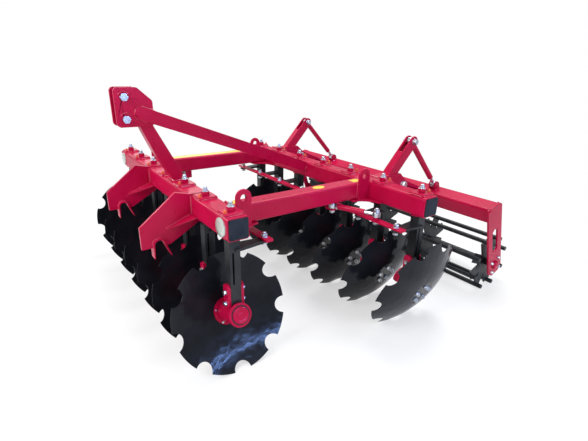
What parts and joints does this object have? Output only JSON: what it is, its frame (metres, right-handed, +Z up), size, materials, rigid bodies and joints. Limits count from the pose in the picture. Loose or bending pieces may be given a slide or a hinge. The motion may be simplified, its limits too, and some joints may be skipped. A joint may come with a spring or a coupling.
{
  "type": "mounted disc harrow",
  "caption": "Three-point mounted compact disc harrow: two rows of notched dished discs on swivelling stalks, angle turnbuckles and a height-adjustable rod cage roller.",
  "frame": {"origin": "on the ground, in the middle of the machine's box", "axes": "+X to the machine's left, +Y rearward, +Z up"},
  "size_m": [2.0066, 2.1548, 1.2133],
  "materials": {
    "red_paint": "glossy crimson powder coat",
    "black_paint": "satin black enamel",
    "zinc": "bright zinc plate",
    "plug": "moulded black plastic"
  },
  "bodies": {
    "frame": {"front_tube": "red_paint", "rear_tube": "red_paint", "tube_plugs": "plug", "side_beam_left": "red_paint", "side_beam_right": "red_paint", "lifting_lugs": "red_paint", "corner_gussets": "red_paint", "headstock_post": "red_paint", "headstock_cheeks": "red_paint", "top_link_pins": "zinc", "headstock_brace": "red_paint", "hitch_hook_left": "red_paint", "hitch_hook_right": "red_paint", "roller_mast_left": "red_paint", "roller_mast_right": "red_paint"},
    "roller_arm": {"roller_frame": "red_paint", "roller_plates": "red_paint"},
    "roller": {"roller_cage": "black_paint"},
    "height_sleeve_left": {"height_sleeve_left": "red_paint"},
    "height_rod_left": {"height_rod_left": "zinc"},
    "height_sleeve_right": {"height_sleeve_right": "red_paint"},
    "height_rod_right": {"height_rod_right": "zinc"},
    "front_leg_1": {"front_leg_1": "black_paint"},
    "front_disc_1": {"front_disc_1": "black_paint"},
    "front_leg_2": {"front_leg_2": "black_paint"},
    "front_disc_2": {"front_disc_2": "black_paint"},
    "front_leg_3": {"front_leg_3": "black_paint"},
    "front_disc_3": {"front_disc_3": "black_paint"},
    "front_leg_4": {"front_leg_4": "black_paint"},
    "front_disc_4": {"front_disc_4": "black_paint"},
    "front_leg_5": {"front_leg_5": "black_paint"},
    "front_disc_5": {"front_disc_5": "black_paint"},
    "front_leg_6": {"front_leg_6": "black_paint"},
    "front_disc_6": {"front_disc_6": "black_paint"},
    "front_leg_7": {"front_leg_7": "black_paint"},
    "front_disc_7": {"front_disc_7": "black_paint"},
    "tie_bar_front": {"tie_bar_front": "red_paint"},
    "angle_sleeve_front": {"angle_sleeve_front": "red_paint"},
    "angle_rod_front": {"angle_rod_front": "zinc"},
    "rear_leg_1": {"rear_leg_1": "black_paint"},
    "rear_disc_1": {"rear_disc_1": "black_paint"},
    "rear_leg_2": {"rear_leg_2": "black_paint"},
    "rear_disc_2": {"rear_disc_2": "black_paint"},
    "rear_leg_3": {"rear_leg_3": "black_paint"},
    "rear_disc_3": {"rear_disc_3": "black_paint"},
    "rear_leg_4": {"rear_leg_4": "black_paint"},
    "rear_disc_4": {"rear_disc_4": "black_paint"},
    "rear_leg_5": {"rear_leg_5": "black_paint"},
    "rear_disc_5": {"rear_disc_5": "black_paint"},
    "rear_leg_6": {"rear_leg_6": "black_paint"},
    "rear_disc_6": {"rear_disc_6": "black_paint"},
    "rear_leg_7": {"rear_leg_7": "black_paint"},
    "rear_disc_7": {"rear_disc_7": "black_paint"},
    "tie_bar_rear": {"tie_bar_rear": "red_paint"},
    "angle_sleeve_rear": {"angle_sleeve_rear": "red_paint"},
    "angle_rod_rear": {"angle_rod_rear": "zinc"}
  },
  "joints": [
    {"name": "roller_arm_hinge", "type": "hinge", "parent": "frame", "child": "roller_arm", "pos_m": [0, 0.39558, 0.68132], "axis": [1, 0, 0], "range_deg": [-8, 10]},
    {"name": "roller_spin", "type": "hinge", "parent": "roller_arm", "child": "roller", "pos_m": [0, 0.91005, 0.16736], "axis": [1, 0, 0], "continuous": true},
    {"name": "height_sleeve_swing_left", "type": "hinge", "parent": "frame", "child": "height_sleeve_left", "pos_m": [0.51, 0.46458, 0.92632], "axis": [1, 0, 0], "range_deg": [-6.13, 7.53]},
    {"name": "height_rod_slide_left", "type": "slide", "parent": "height_sleeve_left", "child": "height_rod_left", "axis": [0, 0.6956, -0.7184], "range_m": [-0.0397, 0.0319]},
    {"name": "height_sleeve_swing_right", "type": "hinge", "parent": "frame", "child": "height_sleeve_right", "pos_m": [-0.51, 0.46458, 0.92632], "axis": [1, 0, 0], "range_deg": [-6.13, 7.53]},
    {"name": "height_rod_slide_right", "type": "slide", "parent": "height_sleeve_right", "child": "height_rod_right", "axis": [0, 0.6956, -0.7184], "range_m": [-0.0397, 0.0319]},
    {"name": "front_leg_swivel_1", "type": "hinge", "parent": "frame", "child": "front_leg_1", "pos_m": [-0.875, -0.78542, 0.70132], "axis": [0, 0, -1], "range_deg": [-4.5, 16.5]},
    {"name": "front_disc_spin_1", "type": "hinge", "parent": "front_leg_1", "child": "front_disc_1", "pos_m": [-0.899, -0.78542, 0.26132], "axis": [0.9397, 0, 0.342], "continuous": true},
    {"name": "front_leg_swivel_2", "type": "hinge", "parent": "frame", "child": "front_leg_2", "pos_m": [-0.625, -0.78542, 0.70132], "axis": [0, 0, -1], "range_deg": [-4.5, 16.5]},
    {"name": "front_disc_spin_2", "type": "hinge", "parent": "front_leg_2", "child": "front_disc_2", "pos_m": [-0.649, -0.78542, 0.26132], "axis": [0.9397, 0, 0.342], "continuous": true},
    {"name": "front_leg_swivel_3", "type": "hinge", "parent": "frame", "child": "front_leg_3", "pos_m": [-0.375, -0.78542, 0.70132], "axis": [0, 0, -1], "range_deg": [-4.5, 16.5]},
    {"name": "front_disc_spin_3", "type": "hinge", "parent": "front_leg_3", "child": "front_disc_3", "pos_m": [-0.399, -0.78542, 0.26132], "axis": [0.9397, 0, 0.342], "continuous": true},
    {"name": "front_row_swivel", "type": "hinge", "parent": "frame", "child": "front_leg_4", "pos_m": [-0.125, -0.78542, 0.70132], "axis": [0, 0, -1], "range_deg": [-4, 16]},
    {"name": "front_disc_spin_4", "type": "hinge", "parent": "front_leg_4", "child": "front_disc_4", "pos_m": [-0.149, -0.78542, 0.26132], "axis": [0.9397, 0, 0.342], "continuous": true},
    {"name": "front_leg_swivel_5", "type": "hinge", "parent": "frame", "child": "front_leg_5", "pos_m": [0.125, -0.78542, 0.70132], "axis": [0, 0, -1], "range_deg": [-4.5, 16.5]},
    {"name": "front_disc_spin_5", "type": "hinge", "parent": "front_leg_5", "child": "front_disc_5", "pos_m": [0.101, -0.78542, 0.26132], "axis": [0.9397, 0, 0.342], "continuous": true},
    {"name": "front_leg_swivel_6", "type": "hinge", "parent": "frame", "child": "front_leg_6", "pos_m": [0.375, -0.78542, 0.70132], "axis": [0, 0, -1], "range_deg": [-4.5, 16.5]},
    {"name": "front_disc_spin_6", "type": "hinge", "parent": "front_leg_6", "child": "front_disc_6", "pos_m": [0.351, -0.78542, 0.26132], "axis": [0.9397, 0, 0.342], "continuous": true},
    {"name": "front_leg_swivel_7", "type": "hinge", "parent": "frame", "child": "front_leg_7", "pos_m": [0.625, -0.78542, 0.70132], "axis": [0, 0, -1], "range_deg": [-4.5, 16.5]},
    {"name": "front_disc_spin_7", "type": "hinge", "parent": "front_leg_7", "child": "front_disc_7", "pos_m": [0.601, -0.78542, 0.26132], "axis": [0.9397, 0, 0.342], "continuous": true},
    {"name": "front_tie_pivot", "type": "hinge", "parent": "front_leg_4", "child": "tie_bar_front", "pos_m": [-0.125, -0.62542, 0.59962], "axis": [0, 0, -1], "range_deg": [-16.5, 4.5]},
    {"name": "angle_sleeve_swing_front", "type": "hinge", "parent": "frame", "child": "angle_sleeve_front", "pos_m": [-0.52, -0.53042, 0.63547], "axis": [0, 0, 1], "range_deg": [-1.92, 6.17]},
    {"name": "angle_rod_slide_front", "type": "slide", "parent": "angle_sleeve_front", "child": "angle_rod_front", "axis": [-0.9212, -0.389, 0], "range_m": [-0.0388, 0.0105]},
    {"name": "rear_leg_swivel_1", "type": "hinge", "parent": "frame", "child": "rear_leg_1", "pos_m": [-0.625, 0.11958, 0.70132], "axis": [0, 0, 1], "range_deg": [-4.5, 16.5]},
    {"name": "rear_disc_spin_1", "type": "hinge", "parent": "rear_leg_1", "child": "rear_disc_1", "pos_m": [-0.601, 0.11958, 0.26132], "axis": [-0.9397, 0, 0.342], "continuous": true},
    {"name": "rear_leg_swivel_2", "type": "hinge", "parent": "frame", "child": "rear_leg_2", "pos_m": [-0.375, 0.11958, 0.70132], "axis": [0, 0, 1], "range_deg": [-4.5, 16.5]},
    {"name": "rear_disc_spin_2", "type": "hinge", "parent": "rear_leg_2", "child": "rear_disc_2", "pos_m": [-0.351, 0.11958, 0.26132], "axis": [-0.9397, 0, 0.342], "continuous": true},
    {"name": "rear_leg_swivel_3", "type": "hinge", "parent": "frame", "child": "rear_leg_3", "pos_m": [-0.125, 0.11958, 0.70132], "axis": [0, 0, 1], "range_deg": [-4.5, 16.5]},
    {"name": "rear_disc_spin_3", "type": "hinge", "parent": "rear_leg_3", "child": "rear_disc_3", "pos_m": [-0.101, 0.11958, 0.26132], "axis": [-0.9397, 0, 0.342], "continuous": true},
    {"name": "rear_row_swivel", "type": "hinge", "parent": "frame", "child": "rear_leg_4", "pos_m": [0.125, 0.11958, 0.70132], "axis": [0, 0, 1], "range_deg": [-4, 16]},
    {"name": "rear_disc_spin_4", "type": "hinge", "parent": "rear_leg_4", "child": "rear_disc_4", "pos_m": [0.149, 0.11958, 0.26132], "axis": [-0.9397, 0, 0.342], "continuous": true},
    {"name": "rear_leg_swivel_5", "type": "hinge", "parent": "frame", "child": "rear_leg_5", "pos_m": [0.375, 0.11958, 0.70132], "axis": [0, 0, 1], "range_deg": [-4.5, 16.5]},
    {"name": "rear_disc_spin_5", "type": "hinge", "parent": "rear_leg_5", "child": "rear_disc_5", "pos_m": [0.399, 0.11958, 0.26132], "axis": [-0.9397, 0, 0.342], "continuous": true},
    {"name": "rear_leg_swivel_6", "type": "hinge", "parent": "frame", "child": "rear_leg_6", "pos_m": [0.625, 0.11958, 0.70132], "axis": [0, 0, 1], "range_deg": [-4.5, 16.5]},
    {"name": "rear_disc_spin_6", "type": "hinge", "parent": "rear_leg_6", "child": "rear_disc_6", "pos_m": [0.649, 0.11958, 0.26132], "axis": [-0.9397, 0, 0.342], "continuous": true},
    {"name": "rear_leg_swivel_7", "type": "hinge", "parent": "frame", "child": "rear_leg_7", "pos_m": [0.875, 0.11958, 0.70132], "axis": [0, 0, 1], "range_deg": [-4.5, 16.5]},
    {"name": "rear_disc_spin_7", "type": "hinge", "parent": "rear_leg_7", "child": "rear_disc_7", "pos_m": [0.899, 0.11958, 0.26132], "axis": [-0.9397, 0, 0.342], "continuous": true},
    {"name": "rear_tie_pivot", "type": "hinge", "parent": "rear_leg_4", "child": "tie_bar_rear", "pos_m": [0.125, -0.04042, 0.59962], "axis": [0, 0, 1], "range_deg": [-16.5, 4.5]},
    {"name": "angle_sleeve_swing_rear", "type": "hinge", "parent": "frame", "child": "angle_sleeve_rear", "pos_m": [0.52, -0.13542, 0.63547], "axis": [0, 0, 1], "range_deg": [-3.17, 1.17]},
    {"name": "angle_rod_slide_rear", "type": "slide", "parent": "angle_sleeve_rear", "child": "angle_rod_rear", "axis": [0.9212, 0.389, 0], "range_m": [-0.0116, 0.0436]}
  ],
  "couplings": [
    {"joint": "height_sleeve_swing_left", "follows": "roller_arm_hinge", "ratio": 0.70328},
    {"joint": "height_rod_slide_left", "follows": "roller_arm_hinge", "m_per_rad": -0.22149},
    {"joint": "height_sleeve_swing_right", "follows": "roller_arm_hinge", "ratio": 0.70328},
    {"joint": "height_rod_slide_right", "follows": "roller_arm_hinge", "m_per_rad": -0.22149},
    {"joint": "front_leg_swivel_1", "follows": "front_row_swivel", "ratio": 1},
    {"joint": "front_leg_swivel_2", "follows": "front_row_swivel", "ratio": 1},
    {"joint": "front_leg_swivel_3", "follows": "front_row_swivel", "ratio": 1},
    {"joint": "front_leg_swivel_5", "follows": "front_row_swivel", "ratio": 1},
    {"joint": "front_leg_swivel_6", "follows": "front_row_swivel", "ratio": 1},
    {"joint": "front_leg_swivel_7", "follows": "front_row_swivel", "ratio": 1},
    {"joint": "front_tie_pivot", "follows": "front_row_swivel", "ratio": -1},
    {"joint": "angle_sleeve_swing_front", "follows": "front_row_swivel", "ratio": 0.35458},
    {"joint": "angle_rod_slide_front", "follows": "front_row_swivel", "m_per_rad": -0.13538},
    {"joint": "rear_leg_swivel_1", "follows": "rear_row_swivel", "ratio": 1},
    {"joint": "rear_leg_swivel_2", "follows": "rear_row_swivel", "ratio": 1},
    {"joint": "rear_leg_swivel_3", "follows": "rear_row_swivel", "ratio": 1},
    {"joint": "rear_leg_swivel_5", "follows": "rear_row_swivel", "ratio": 1},
    {"joint": "rear_leg_swivel_6", "follows": "rear_row_swivel", "ratio": 1},
    {"joint": "rear_leg_swivel_7", "follows": "rear_row_swivel", "ratio": 1},
    {"joint": "rear_tie_pivot", "follows": "rear_row_swivel", "ratio": -1},
    {"joint": "angle_sleeve_swing_rear", "follows": "rear_row_swivel", "ratio": -0.16674},
    {"joint": "angle_rod_slide_rear", "follows": "rear_row_swivel", "m_per_rad": 0.15252}
  ]
}
